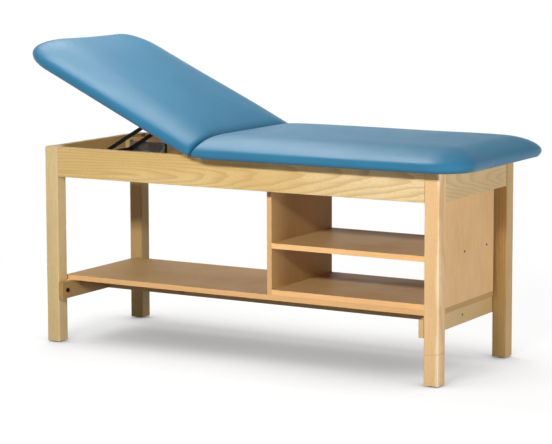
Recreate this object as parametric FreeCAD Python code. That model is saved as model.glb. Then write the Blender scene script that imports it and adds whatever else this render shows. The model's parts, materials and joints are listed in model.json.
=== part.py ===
import FreeCAD, Part
import os
from math import asin, cos, radians, sin, sqrt, tan

os.makedirs("parts", exist_ok=True)
Vec = FreeCAD.Vector

# Treatment table with a tilting backrest, an H-braced wooden frame and an open shelf unit.
# Millimetres. +X runs from the head end to the foot end, +Y from the front to the back,
# and Z = 0 is the floor. The backrest stands raised, as at rest.

# Overall sizes
table_length = 1850.0  # padded top with the backrest lowered
table_width = 762.0
side_overhang = 81.0  # padded top beyond the frame at front and back
foot_overhang = 114.5
head_overhang = 135.5  # with the backrest lowered
frame_height = 725.0  # top of the rails
backrest_length = 808.0  # from the hinge line to the head end
rest_angle = 25.2  # backrest above level, in degrees
highest_angle = 45.0

# Legs and rails
leg_side = 54.0
leg_round = 4.0
glide_height = 4.0
glide_radius = 19.0
rail_thickness = 22.0
rail_round = 1.5
side_rail_height = 109.0
side_rail_setback = 0.8
end_rail_height = 109.0
end_rail_setback = 4.0
tenon_length = 18.0
tenon_thickness = 10.0
tenon_shoulder = 12.0  # step above and below a tenon
housing_depth = 6.0  # how far a bearer is let into a rail
wood_gap = 0.1  # slack in a wooden joint

# Corner blocks and their hanger bolts
block_height = 48.0
block_thickness = 22.0
block_drop = 12.0  # rail top to block top
block_leg_gap = 3.0
hanger_radius = 4.0
hanger_grip = 38.0  # length in the leg
nut_height = 7.0
nut_width = 13.0
nut_flange_radius = 9.0
nut_flange_height = 2.0
stud_reach = 4.0  # stud left beyond its nut

# Lower frame and full shelf
cross_rail_base = 163.0
cross_rail_height = 62.0
cross_rail_thickness = 19.0
shelf_thickness = 19.0
shelf_front_gap = 11.0  # front leg to shelf edge
shelf_back_gap = 24.0
shelf_end_reach = 14.0  # how far the shelf passes the cross rails
board_round = 1.0

# Open shelf unit
unit_length = 656.0
unit_back_gap = 20.0  # back of the unit to the shelf's back edge
unit_mid_height = 408.0  # underside of the middle shelf
end_panel_drop = 70.0  # rail top to end panel top
divider_drop = 5.0  # rail top to divider top

# Bearers under the top
bearer_thickness = 22.0
seat_bearer_height = 60.0
rack_bearer_height = 50.0
hinge_rail_height = 106.0
cleat_height = 34.0
cleat_inset = 68.5  # end of the cleat to the edge of the end panel

# Padded tops
board_thickness = 12.7
board_gap = 3.0  # edge of the board to the drawn-in side
pad_height = 75.0  # underside of the board to the crown
pad_belly = 18.0  # height of the widest line
side_roll = 160.0  # how far the crown rolls in from the sides
head_roll = 56.0
foot_roll = 92.0
roll_power = 1.15  # 1 is a round shoulder, 2 a straight slope
pad_draw = 9.0  # how far the sides draw in at the board
side_draw = 2.0  # how far a side bows in between its corners
pad_corner = 126.0
hinge_corner = 14.0
hinge_roll = 14.0
cover_thickness = 1.2
cover_turn = 35.0  # hem under the board
foam_gap = 0.5
pad_gap = 1.5  # each pad to the hinge plane at the highest angle
backrest_gap = 0.5  # lowered backrest to the rails

# Backrest hinges
knuckle_radius = 5.0
leaf_thickness = 2.0
leaf_width = 36.0
hinge_length = 64.0
hinge_room = 35.2  # end hinges to the side rails
knuckle_count = 5
knuckle_gap = 0.3
pin_radius = 2.5
pin_gap = 0.05

# Backrest support: two arms on a cross rod that runs over notched racks
guide_slope = 3.5  # fall of the racks towards the head end, in degrees
arm_spacing = 178.0
arm_thickness = 5.0
arm_width = 14.0
arm_eye_radius = 9.0
arm_end_room = 10.0  # lowered arms to the head end rail
pivot_drop = 14.0  # pivot below the backrest board
pivot_radius = 4.0
pivot_head_radius = 7.0
pivot_head_height = 2.5
lug_thickness = 4.0
lug_gap = 0.5
lug_radius = 9.0
bracket_plate = 2.5
bracket_length = 60.0
bracket_width = 34.0
rod_radius = 6.0
rod_overhang = 10.0  # rod beyond the outside of each arm
rack_width = 8.0
rack_gap = 3.5  # arm to rack
rack_run_gap = 0.3  # rod to the tips of the rack
rack_end_room = 14.0  # rack beyond its first and last places of the rod
rack_foot = 28.0  # rack below the top of its bearer
bearer_room = 5.0  # lowered rod to the bearers
notch_count = 4
notch_depth = 5.0
notch_slack = 0.4
rack_back_thickness = 3.0
rack_back_drop = 11.0  # rail top to the top of the rack's back plate
strap_width = 14.0
strap_thickness = 3.0
strap_drop = 8.0  # rail top to the top of the strap's ends

# Fasteners
screw_gap = 0.1
bolt_radius = 4.0
bolt_head_radius = 8.0
bolt_head_height = 4.5
bolt_socket_width = 6.0
bolt_socket_depth = 2.5
bolt_grip = 36.0
screw_radius = 2.2
screw_head_radius = 4.5
screw_head_height = 1.8
screw_grip = 24.0  # length in the piece that holds the thread
small_screw_radius = 1.8
small_screw_head_radius = 3.6
small_screw_head_height = 1.4
small_screw_grip = 10.0
dowel_radius = 4.0
dowel_length = 30.0
seat_bracket_leg = 28.0
seat_bracket_width = 22.0
seat_bracket_thickness = 2.0

# Places worked out from those sizes. The origin is on the floor under the middle of the whole box.
rest_rad = radians(rest_angle)
slope_rad = radians(guide_slope)
half_length = (table_length - foot_overhang - head_overhang) / 2  # of the frame, over the legs
seat_length = table_length - backrest_length
foot_end = half_length + foot_overhang  # from the middle of the frame
tip_lift = (pad_belly / 2 + knuckle_radius + backrest_gap) * sin(rest_rad) + pad_draw / 5
head_end = foot_end - seat_length - backrest_length * cos(rest_rad) + tip_lift
middle_x = -(foot_end + head_end) / 2
half_width = table_width / 2 - side_overhang
leg_in_x = half_length - leg_side  # inner leg faces, from the middle
leg_in_y = half_width - leg_side
side_rail_in = half_width - side_rail_setback - rail_thickness
end_rail_in = half_length - end_rail_setback - rail_thickness
hinge_spacing = side_rail_in - hinge_room - hinge_length / 2
hinge_x = middle_x + foot_end - seat_length
hinge_z = frame_height - knuckle_radius
hinge_point = Vec(hinge_x, 0, hinge_z)
axis_y = Vec(0, 1, 0)
head_in = middle_x - end_rail_in
shelf_base = cross_rail_base + cross_rail_height
shelf_top = shelf_base + shelf_thickness
shelf_front = -leg_in_y + shelf_front_gap
shelf_depth = leg_in_y - shelf_back_gap - shelf_front
shelf_half = leg_in_x + shelf_end_reach
unit_right = middle_x + shelf_half
unit_left = unit_right - unit_length
unit_depth = shelf_depth - unit_back_gap
unit_back = shelf_front + unit_depth
unit_end_height = frame_height - end_panel_drop
cleat_length = unit_depth - 2 * cleat_inset
unit_floor = shelf_top + shelf_thickness
ends = {"head": -1, "foot": 1}
sides = {"front": -1, "back": 1}


def save(name, solids):
    shape = solids[0] if len(solids) == 1 else Part.makeCompound(solids)
    shape.exportStep("parts/" + name + ".step")
    print(name, len(shape.Solids), round(shape.Volume / 1000, 2), shape.isValid())


def span(center, size):
    return center - size / 2, center + size / 2


def block(x, y, z):
    low = Vec(min(x), min(y), min(z))
    return Part.makeBox(max(x) - low.x, max(y) - low.y, max(z) - low.z, low)


def along(shape, direction):
    # Edges of a solid that run along a direction.
    found = []
    for edge in shape.Edges:
        run = edge.lastVertex().Point - edge.firstVertex().Point
        if run.Length > 0.1 and abs(run.normalize().dot(direction)) > 0.999:
            found.append(edge)
    return found


def rounded(shape, radius, direction):
    return shape.makeFillet(radius, along(shape, direction))


def bar(start, direction, length, radius):
    return Part.makeCylinder(radius, length, start, direction)


def drilled(shape, holes):
    for hole in holes:
        shape = shape.cut(hole)
    return shape


class Screw:
    # A screw whose head seats at a point and whose shank runs along a direction.
    def __init__(self, seat, direction, length, small=False):
        self.seat = seat
        self.direction = Vec(direction).normalize()
        self.length = length
        self.radius = small_screw_radius if small else screw_radius
        self.head_radius = small_screw_head_radius if small else screw_head_radius
        self.head_height = small_screw_head_height if small else screw_head_height

    def solid(self):
        head = bar(self.seat, self.direction * -1, self.head_height, self.head_radius)
        top_edge = max(head.Edges, key=lambda e: -e.CenterOfMass.dot(self.direction))
        head = head.makeFillet(self.head_height * 0.6, [top_edge])
        return head.fuse(bar(self.seat, self.direction, self.length, self.radius)).removeSplitter()

    def hole(self):
        return bar(self.seat, self.direction, self.length + screw_gap, self.radius + screw_gap)

    def counterbore(self, depth):
        return bar(self.seat, self.direction * -1, depth, self.head_radius + screw_gap)


def hexagon(center, direction, width, height):
    # Hexagonal prism across flats of the given width.
    turn = FreeCAD.Rotation(Vec(0, 0, 1), direction)
    reach = width / sqrt(3)
    corners = [Vec(reach, 0, 0)]
    for i in range(1, 7):
        corners.append(FreeCAD.Rotation(Vec(0, 0, 1), 60 * i).multVec(corners[0]))
    points = [center + turn.multVec(corner) for corner in corners]
    return Part.Face(Part.makePolygon(points)).extrude(Vec(direction) * height)


# Legs, each with its mortises, bolt holes and a floor glide
leg_x = {end: middle_x + s * (half_length - leg_side / 2) for end, s in ends.items()}
leg_y = {side: s * (half_width - leg_side / 2) for side, s in sides.items()}
legs = {}
glides = []
for end, ex in ends.items():
    for side, sy in sides.items():
        leg = block(span(leg_x[end], leg_side), span(leg_y[side], leg_side), (glide_height, frame_height))
        legs[end, side] = rounded(leg, leg_round, Vec(0, 0, 1))
        foot = Vec(leg_x[end], leg_y[side], 0)
        glides.append(bar(foot, Vec(0, 0, 1), glide_height, glide_radius))


# Rails with stub tenons at both ends
def tenon_heights(rail_height, slack):
    base = frame_height - rail_height + tenon_shoulder
    return base - slack, frame_height - tenon_shoulder + slack


side_rails = {}
for side, sy in sides.items():
    outer = sy * (half_width - side_rail_setback)
    inner = sy * side_rail_in
    middle = (outer + inner) / 2
    rail = block(
        (middle_x - leg_in_x, middle_x + leg_in_x),
        (inner, outer),
        (frame_height - side_rail_height, frame_height),
    )
    rail = rounded(rail, rail_round, Vec(1, 0, 0))
    for end, ex in ends.items():
        root = middle_x + ex * leg_in_x
        tip = root + ex * tenon_length
        tenon = block((root, tip), span(middle, tenon_thickness), tenon_heights(side_rail_height, 0))
        rail = rail.fuse(tenon)
        mortise = block(
            (root, tip + ex * wood_gap),
            span(middle, tenon_thickness + 2 * wood_gap),
            tenon_heights(side_rail_height, wood_gap),
        )
        legs[end, side] = legs[end, side].cut(mortise)
    side_rails[side] = rail.removeSplitter()

end_rails = {}
for end, ex in ends.items():
    outer = middle_x + ex * (half_length - end_rail_setback)
    inner = middle_x + ex * end_rail_in
    middle = (outer + inner) / 2
    rail = block((inner, outer), (-leg_in_y, leg_in_y), (frame_height - end_rail_height, frame_height))
    rail = rounded(rail, rail_round, Vec(0, 1, 0))
    for side, sy in sides.items():
        root = sy * leg_in_y
        tip = root + sy * tenon_length
        tenon = block(span(middle, tenon_thickness), (root, tip), tenon_heights(end_rail_height, 0))
        rail = rail.fuse(tenon)
        mortise = block(
            span(middle, tenon_thickness + 2 * wood_gap),
            (root, tip + sy * wood_gap),
            tenon_heights(end_rail_height, wood_gap),
        )
        legs[end, side] = legs[end, side].cut(mortise)
    end_rails[end] = rail.removeSplitter()

# Corner blocks across the inside corners, each with a hanger bolt into its leg
corner_blocks = {}
hanger_bolts = []
hanger_nuts = []
block_z = (frame_height - block_drop - block_height, frame_height - block_drop)
bolt_z = sum(block_z) / 2
for end, ex in ends.items():
    for side, sy in sides.items():
        offsets = [block_leg_gap * sqrt(2), (block_leg_gap + block_thickness) * sqrt(2)]
        line = [leg_in_x + leg_in_y - step for step in offsets]
        plan = [
            (line[0] - side_rail_in, side_rail_in),
            (end_rail_in, line[0] - end_rail_in),
            (end_rail_in, line[1] - end_rail_in),
            (line[1] - side_rail_in, side_rail_in),
        ]
        points = [Vec(middle_x + ex * x, sy * y, block_z[0]) for x, y in plan]
        shape = Part.Face(Part.makePolygon(points + points[:1])).extrude(Vec(0, 0, block_height))
        out = Vec(ex, sy, 0).normalize()
        leg_corner = Vec(middle_x + ex * leg_in_x, sy * leg_in_y, bolt_z)
        seat = leg_corner - out * (block_leg_gap + block_thickness)
        stud_start = seat - out * (nut_height + stud_reach)
        stud_length = nut_height + stud_reach + block_leg_gap + block_thickness + hanger_grip
        hanger_bolts.append(bar(stud_start, out, stud_length, hanger_radius))
        hole = bar(stud_start, out, stud_length + screw_gap, hanger_radius + screw_gap)
        corner_blocks[end, side] = shape.cut(hole)
        legs[end, side] = legs[end, side].cut(hole)
        nut = hexagon(seat - out * nut_height, out, nut_width, nut_height)
        nut = nut.fuse(bar(seat - out * nut_flange_height, out, nut_flange_height, nut_flange_radius))
        hanger_nuts.append(nut.removeSplitter().cut(hole))

# Lower cross rails bolted to the insides of the legs, and the stretcher between them
cross_z = (cross_rail_base, shelf_base)
cross_mid_z = sum(cross_z) / 2
cross_in = leg_in_x - cross_rail_thickness
cross_rails = {}
cross_bolts = []
stretcher_screws = []
shelf_screws = []
stretcher = block((middle_x - cross_in, middle_x + cross_in), span(0, cross_rail_thickness), cross_z)
stretcher = rounded(stretcher, board_round, Vec(1, 0, 0))
shelf_y = (shelf_front, shelf_front + shelf_depth)
shelf = block((middle_x - shelf_half, middle_x + shelf_half), shelf_y, (shelf_base, shelf_top))
shelf = rounded(shelf, board_round, Vec(1, 0, 0))
for end, ex in ends.items():
    outer = middle_x + ex * leg_in_x
    inner = middle_x + ex * cross_in
    rail = block((inner, outer), (-half_width, half_width), cross_z)
    rail = rounded(rail, board_round, Vec(0, 1, 0))
    out = Vec(ex, 0, 0)
    for side, sy in sides.items():
        seat = Vec(inner, leg_y[side], cross_mid_z)
        head = bar(seat, out * -1, bolt_head_height, bolt_head_radius)
        head = head.cut(hexagon(seat - out * bolt_head_height, out, bolt_socket_width, bolt_socket_depth))
        shank_length = cross_rail_thickness + bolt_grip
        cross_bolts.append(head.fuse(bar(seat, out, shank_length, bolt_radius)).removeSplitter())
        hole = bar(seat, out, shank_length + screw_gap, bolt_radius + screw_gap)
        rail = rail.cut(hole)
        legs[end, side] = legs[end, side].cut(hole)
        # A shelf screw from below, its head deep in a counterbore
        up_seat = Vec((inner + outer) / 2, sy * unit_depth / 3, shelf_base - screw_grip)
        screw = Screw(up_seat, Vec(0, 0, 1), screw_grip + shelf_thickness / 2)
        shelf_screws.append(screw.solid())
        bore_depth = cross_rail_height - screw_grip
        rail = drilled(rail, [screw.hole(), screw.counterbore(bore_depth)])
        shelf = shelf.cut(screw.hole())
    screw = Screw(Vec(outer, 0, cross_mid_z), out * -1, cross_rail_thickness + screw_grip)
    stretcher_screws.append(screw.solid())
    cross_rails[end] = rail.cut(screw.hole())
    stretcher = stretcher.cut(screw.hole())

# Open shelf unit standing on the shelf
unit_y = (shelf_front, unit_back)
divider_z = (shelf_top, frame_height - divider_drop)
divider = block((unit_left, unit_left + shelf_thickness), unit_y, divider_z)
end_panel = block((unit_right - shelf_thickness, unit_right), shelf_y, (shelf_top, unit_end_height))
inner_x = (unit_left + shelf_thickness, unit_right - shelf_thickness)
bottom_panel = block(inner_x, unit_y, (shelf_top, unit_floor))
mid_shelf = block(inner_x, unit_y, (unit_mid_height, unit_mid_height + shelf_thickness))
divider = rounded(divider, board_round, Vec(0, 0, 1))
end_panel = rounded(end_panel, board_round, Vec(0, 0, 1))
mid_shelf = rounded(mid_shelf, board_round, Vec(1, 0, 0))
bottom_panel = rounded(bottom_panel, board_round, Vec(1, 0, 0))
unit_middle_y = sum(unit_y) / 2
fix_rows = [unit_middle_y + step * unit_depth * 0.41 for step in (-1, 0, 1)]
mid_screws = []
dowels = []
for y in fix_rows:
    mid_z = unit_mid_height + shelf_thickness / 2
    dowel_z = shelf_top + shelf_thickness / 2
    for face, step in ((unit_left, 1), (unit_right, -1)):
        run = Vec(step, 0, 0)
        screw = Screw(Vec(face, y, mid_z), run, shelf_thickness + screw_grip)
        mid_screws.append(screw.solid())
        mid_shelf = mid_shelf.cut(screw.hole())
        joint = face + step * shelf_thickness
        dowel_start = Vec(joint - step * dowel_length / 3, y, dowel_z)
        dowel = bar(dowel_start, run, dowel_length, dowel_radius)
        socket = bar(dowel_start - run * wood_gap, run, dowel_length + 2 * wood_gap, dowel_radius + wood_gap)
        dowels.append(dowel)
        bottom_panel = bottom_panel.cut(socket)
        if step > 0:
            divider = drilled(divider, [screw.hole(), socket])
        else:
            end_panel = drilled(end_panel, [screw.hole(), socket])
bottom_screws = []
for x in (inner_x[0] + unit_length / 6, inner_x[1] - unit_length / 6):
    for y in (fix_rows[0] + unit_depth / 8, fix_rows[2] - unit_depth / 8):
        screw = Screw(Vec(x, y, shelf_base), Vec(0, 0, 1), shelf_thickness * 1.6)
        bottom_screws.append(screw.solid())
        shelf = shelf.cut(screw.hole())
        bottom_panel = bottom_panel.cut(screw.hole())

# Bearers let into the rails: under the hinge, under the seat, and two that carry the racks
hinge_rail_x = (hinge_x + knuckle_radius, hinge_x + knuckle_radius + bearer_thickness)
seat_bearer_x = (unit_left + shelf_thickness, unit_left + shelf_thickness + bearer_thickness)
across = side_rail_in + housing_depth
hinge_rail_z = (frame_height - hinge_rail_height, frame_height)
seat_bearer_z = (frame_height - seat_bearer_height, frame_height)
hinge_rail = block(hinge_rail_x, (-across, across), hinge_rail_z)
seat_bearer = block(seat_bearer_x, (-across, across), seat_bearer_z)
for side, sy in sides.items():
    for xs, zs in ((hinge_rail_x, hinge_rail_z), (seat_bearer_x, seat_bearer_z)):
        pocket = block(
            (xs[0] - wood_gap, xs[1] + wood_gap),
            (sy * side_rail_in, sy * (across + wood_gap)),
            (zs[0] - wood_gap, zs[1] + wood_gap),
        )
        side_rails[side] = side_rails[side].cut(pocket)

# Line of the cross rod: it passes through the hinge axis and falls towards the head end
reach_room = hinge_x - (head_in + arm_end_room + arm_eye_radius)
pivot_reach = reach_room / (2 * cos(slope_rad))
pivot_fall = pivot_drop - knuckle_radius - backrest_gap  # pivot below the hinge axis when lowered
pivot_tilt = asin(pivot_fall / pivot_reach)


def rod_center(angle):
    # Middle of the cross rod with the backrest at an angle above level.
    run = 2 * pivot_reach * cos(radians(angle) - pivot_tilt + slope_rad)
    return Vec(hinge_x - run * cos(slope_rad), 0, hinge_z - run * sin(slope_rad))


def pivot_center(angle):
    lift = radians(angle) - pivot_tilt
    return hinge_point + Vec(-pivot_reach * cos(lift), 0, pivot_reach * sin(lift))


rod_low = rod_center(0)
rod_rest = rod_center(rest_angle)
rod_high = rod_center(highest_angle)
rack_y = arm_spacing / 2 + arm_thickness / 2 + rack_gap
bearer_near = rack_y + rack_width
bearer_top = rod_low.z - rod_radius - bearer_room
rack_bearer_z = (bearer_top - rack_bearer_height, bearer_top)
hinge_face = hinge_rail_x[0]
bearer_x = (head_in - housing_depth, hinge_face + housing_depth)
rack_bearers = {}
for side, sy in sides.items():
    bearer_y = (sy * bearer_near, sy * (bearer_near + bearer_thickness))
    rack_bearers[side] = block(bearer_x, bearer_y, rack_bearer_z)
    pocket_y = (min(bearer_y) - wood_gap, max(bearer_y) + wood_gap)
    pocket_z = (rack_bearer_z[0] - wood_gap, rack_bearer_z[1] + wood_gap)
    end_rails["head"] = end_rails["head"].cut(block((bearer_x[0] - wood_gap, head_in), pocket_y, pocket_z))
    hinge_rail = hinge_rail.cut(block((hinge_face, bearer_x[1] + wood_gap), pocket_y, pocket_z))

# Notched racks on the inner faces of their bearers. The back one has a plate behind the rod,
# and a strap with turned-up ends stands behind that plate.
rack_x = (rod_low.x - rod_radius, rod_high.x + rack_end_room)
strap_x = (rod_rest.x - rack_end_room, rod_high.x + rack_end_room)
rack_foot_z = bearer_top - rack_foot
tip_drop = (rod_radius + rack_run_gap) / cos(slope_rad)


def tip_z(x):
    return hinge_z - (hinge_x - x) * tan(slope_rad) - tip_drop


angle_step = (highest_angle - rest_angle) / (notch_count - 1)
racks = {}
rack_screws = []
for side, sy in sides.items():
    near = sy * rack_y
    corners = [
        Vec(rack_x[0], near, rack_foot_z),
        Vec(rack_x[1], near, rack_foot_z),
        Vec(rack_x[1], near, tip_z(rack_x[1])),
        Vec(rack_x[0], near, tip_z(rack_x[0])),
    ]
    rack = Part.Face(Part.makePolygon(corners + corners[:1])).extrude(Vec(0, sy * rack_width, 0))
    for i in range(notch_count):
        seat = rod_center(rest_angle + i * angle_step)
        sunk = Vec(seat.x, near, seat.z - notch_depth)
        notch = bar(sunk, Vec(0, sy, 0), rack_width, rod_radius + notch_slack)
        mouth = block(
            span(seat.x, 2 * (rod_radius + notch_slack)),
            (near, near + sy * rack_width),
            (sunk.z, sunk.z + rod_radius + notch_depth),
        )
        rack = rack.cut(notch.fuse(mouth))
    if side == "back":
        plate_y = (sy * bearer_near, sy * (bearer_near + rack_back_thickness))
        plate_z = (bearer_top, frame_height - rack_back_drop)
        rack = rack.fuse(block(strap_x, plate_y, plate_z)).removeSplitter()
    for x in (rack_x[0] + rack_end_room, sum(rack_x) / 2, rack_x[1] - rack_end_room):
        seat = Vec(x, near, bearer_top - rack_foot / 2)
        screw = Screw(seat, Vec(0, sy, 0), rack_width + small_screw_grip, small=True)
        rack_screws.append(screw.solid())
        rack = rack.cut(screw.hole())
        rack_bearers[side] = rack_bearers[side].cut(screw.hole())
    racks[side] = rack
strap_near = bearer_near + rack_back_thickness
strap_y = (strap_near, strap_near + strap_width)
strap = block(strap_x, strap_y, (bearer_top, bearer_top + strap_thickness))
for x, step in ((strap_x[0], 1), (strap_x[1], -1)):
    upright = block((x, x + step * strap_thickness), strap_y, (bearer_top, frame_height - strap_drop))
    strap = strap.fuse(upright)
    seat = Vec(x + step * rack_end_room * 1.5, sum(strap_y) / 2, bearer_top + strap_thickness)
    screw = Screw(seat, Vec(0, 0, -1), strap_thickness + small_screw_grip, small=True)
    rack_screws.append(screw.solid())
    strap = strap.cut(screw.hole())
    rack_bearers["back"] = rack_bearers["back"].cut(screw.hole())
strap = strap.removeSplitter()

# Tops of the unit's two uprights: screwed to the seat bearer, and through a cleat to the end rail
panel_screws = []
end_in = middle_x + end_rail_in
cleat_y = span(unit_middle_y, cleat_length)
cleat = block((unit_right, end_in), cleat_y, (unit_end_height - cleat_height, unit_end_height))
for y in (fix_rows[0] + unit_depth / 8, fix_rows[2] - unit_depth / 8):
    seat = Vec(unit_left, y, sum(seat_bearer_z) / 2)
    screw = Screw(seat, Vec(1, 0, 0), shelf_thickness + bearer_thickness / 2)
    panel_screws.append(screw.solid())
    divider = divider.cut(screw.hole())
    seat_bearer = seat_bearer.cut(screw.hole())
    cleat_fix_y = unit_middle_y + (y - unit_middle_y) / 2
    seat = Vec(unit_right - shelf_thickness, cleat_fix_y, unit_end_height - cleat_height / 2)
    screw = Screw(seat, Vec(1, 0, 0), shelf_thickness + (end_in - unit_right) + rail_thickness / 2)
    panel_screws.append(screw.solid())
    end_panel = end_panel.cut(screw.hole())
    cleat = cleat.cut(screw.hole())
    end_rails["foot"] = end_rails["foot"].cut(screw.hole())


# Padded tops. A pad is drawn along u, from the hinge line to its outer end, and its height is h.
def pad_section(length, h, side_inset, end_inset, hinge_end, place):
    right = length - end_inset
    wide = table_width / 2 - side_inset
    big = max(pad_corner - min(side_inset, end_inset), hinge_corner)
    small = hinge_corner
    draw = side_draw
    mid = (hinge_end + right) / 2

    def at(u, v):
        return place(u, v, h)

    def corner(start, through, stop):
        return Part.Arc(at(*start), at(*through), at(*stop)).toShape()

    big_in = big * (1 - sqrt(0.5))
    small_in = small * (1 - sqrt(0.5))
    near = hinge_end + small_in
    edges = [
        corner((hinge_end, small - wide), (near, small_in - wide), (hinge_end + small, -wide)),
        corner((hinge_end + small, -wide), (mid, draw - wide), (right - big, -wide)),
        corner((right - big, -wide), (right - big_in, big_in - wide), (right, big - wide)),
        corner((right, big - wide), (right - draw, 0), (right, wide - big)),
        corner((right, wide - big), (right - big_in, wide - big_in), (right - big, wide)),
        corner((right - big, wide), (mid, wide - draw), (hinge_end + small, wide)),
        corner((hinge_end + small, wide), (near, wide - small_in), (hinge_end, wide - small)),
        Part.LineSegment(at(hinge_end, wide - small), at(hinge_end, small - wide)).toShape(),
    ]
    return Part.Wire(edges)


bevel = tan(radians(highest_angle / 2))


def pad_form(length, end_roll, base, skin, place):
    # Crowned pad from a base height up, drawn in by a skin on every side.
    def hinge_end(h):
        return pad_gap + (h + knuckle_radius + backrest_gap) * bevel + skin

    sections = []
    for part in (0, 0.3, 0.65):
        h = base + part * (pad_belly - base)
        inset = skin + pad_draw * (1 - h / pad_belly) ** 2
        sections.append(pad_section(length, h, inset, inset, hinge_end(h), place))
    for turn in range(0, 91, 10):
        rise = sin(radians(turn)) ** roll_power
        roll = 1 - abs(cos(radians(turn))) ** roll_power
        h = pad_belly + (pad_height - skin - pad_belly) * rise
        side_inset = skin + (side_roll - skin) * roll
        end_inset = skin + (end_roll - skin) * roll
        rolled_end = hinge_end(h) + hinge_roll * roll
        sections.append(pad_section(length, h, side_inset, end_inset, rolled_end, place))
    form = Part.makeLoft(sections, True, True)
    return form if form.Volume > 0 else form.reversed()


def padded_top(length, end_roll, board_end, place):
    # Board, foam and cover of one padded top.
    board_inset = pad_draw + board_gap
    plan = pad_section(length, 0, board_inset, board_inset, board_end, place)
    up = place(0, 0, 1) - place(0, 0, 0)
    board = Part.Face(plan).extrude(up * board_thickness)
    foam = pad_form(length, end_roll, board_thickness, cover_thickness + foam_gap, place)
    cover = pad_form(length, end_roll, -cover_thickness, 0, place)
    cover = cover.cut(pad_form(length, end_roll, 0, cover_thickness, place))
    wall_end = pad_gap + (knuckle_radius + backrest_gap) * bevel + cover_thickness
    mouth = Part.Face(pad_section(length, -2 * cover_thickness, cover_turn, cover_turn, wall_end, place))
    cover = cover.cut(mouth.extrude(up * 3 * cover_thickness))
    low = place(-hinge_corner, -table_width, -3 * cover_thickness)
    high = place(board_end + hinge_corner, table_width, foam_gap)
    cover = cover.cut(block((low.x, high.x), (low.y, high.y), (low.z, high.z)))
    return board, foam, cover


board_end = pad_gap + (board_thickness + knuckle_radius + backrest_gap) * bevel + 2 * cover_thickness


def seat_place(u, v, h):
    return Vec(hinge_x + u, v, frame_height + h)


def back_place(u, v, h):
    return Vec(hinge_x - u, v, frame_height + backrest_gap + h)


seat_board, seat_foam, seat_cover = padded_top(seat_length, foot_roll, board_end, seat_place)
back_board, back_foam, back_cover = padded_top(backrest_length, head_roll, board_end, back_place)

# Angle brackets that hold the seat board to the side rails
seat_brackets = []
seat_bracket_screws = []
for x in (seat_bearer_x[1] + unit_length / 4, seat_bearer_x[1] + unit_length * 0.7):
    for side, sy in sides.items():
        wall = sy * side_rail_in
        inner = wall - sy * seat_bracket_leg
        xs = span(x, seat_bracket_width)
        bracket = block(xs, (wall, inner), (frame_height - seat_bracket_thickness, frame_height))
        back_leg = (wall, wall - sy * seat_bracket_thickness)
        bracket = bracket.fuse(block(xs, back_leg, (frame_height - seat_bracket_leg, frame_height)))
        leg_mid = seat_bracket_leg * 0.6
        lower = Vec(x, back_leg[1], frame_height - leg_mid)
        upper = Vec(x, wall - sy * leg_mid, frame_height - seat_bracket_thickness)
        low_screw = Screw(lower, Vec(0, sy, 0), seat_bracket_thickness + small_screw_grip, small=True)
        up_length = seat_bracket_thickness + board_thickness * 0.7
        up_screw = Screw(upper, Vec(0, 0, 1), up_length, small=True)
        side_rails[side] = side_rails[side].cut(low_screw.hole())
        seat_board = seat_board.cut(up_screw.hole())
        seat_brackets.append(drilled(bracket.removeSplitter(), [low_screw.hole(), up_screw.hole()]))
        seat_bracket_screws += [low_screw.solid(), up_screw.solid()]

# Butt hinges: fixed leaves on the hinge rail, moving leaves under the backrest board
knuckle = hinge_length / knuckle_count
fixed_leaves = []
moving_leaves = []
hinge_pins = []
fixed_screws = []
moving_screws = []
board_under = frame_height + backrest_gap
for row in (-1, 0, 1):
    y0 = row * hinge_spacing - hinge_length / 2
    whole_y = (y0, y0 + hinge_length)
    root = knuckle_radius + 2 * knuckle_gap
    fixed = block(
        (hinge_face - leaf_thickness, hinge_face),
        whole_y,
        (hinge_z - leaf_width, hinge_z - root),
    )
    moving = block(
        (hinge_x - leaf_width, hinge_x - root),
        whole_y,
        (board_under - leaf_thickness, board_under),
    )
    for i in range(knuckle_count):
        ys = (y0 + i * knuckle + knuckle_gap / 2, y0 + (i + 1) * knuckle - knuckle_gap / 2)
        barrel = bar(Vec(hinge_x, ys[0], hinge_z), axis_y, ys[1] - ys[0], knuckle_radius)
        if i % 2 == 0:
            web = block((hinge_face - leaf_thickness, hinge_face), ys, (hinge_z - root, hinge_z))
            fixed = fixed.fuse(barrel).fuse(web)
        else:
            web = block((hinge_x - root, hinge_x), ys, (board_under - leaf_thickness, board_under))
            moving = moving.fuse(barrel).fuse(web)
    bore = bar(Vec(hinge_x, y0, hinge_z), axis_y, hinge_length, pin_radius + pin_gap)
    hinge_pins.append(bar(Vec(hinge_x, y0, hinge_z), axis_y, hinge_length, pin_radius))
    for y in (y0 + knuckle * 0.8, y0 + hinge_length - knuckle * 0.8):
        seat = Vec(hinge_face - leaf_thickness, y, hinge_z - leaf_width * 0.65)
        screw = Screw(seat, Vec(1, 0, 0), leaf_thickness + small_screw_grip, small=True)
        fixed_screws.append(screw.solid())
        fixed = fixed.cut(screw.hole())
        hinge_rail = hinge_rail.cut(screw.hole())
        seat = Vec(hinge_x - leaf_width * 0.65, y, board_under - leaf_thickness)
        screw = Screw(seat, Vec(0, 0, 1), leaf_thickness + board_thickness * 0.7, small=True)
        moving_screws.append(screw.solid())
        moving = moving.cut(screw.hole())
        back_board = back_board.cut(screw.hole())
    fixed_leaves.append(fixed.removeSplitter().cut(bore))
    moving_leaves.append(moving.removeSplitter().cut(bore))

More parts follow.
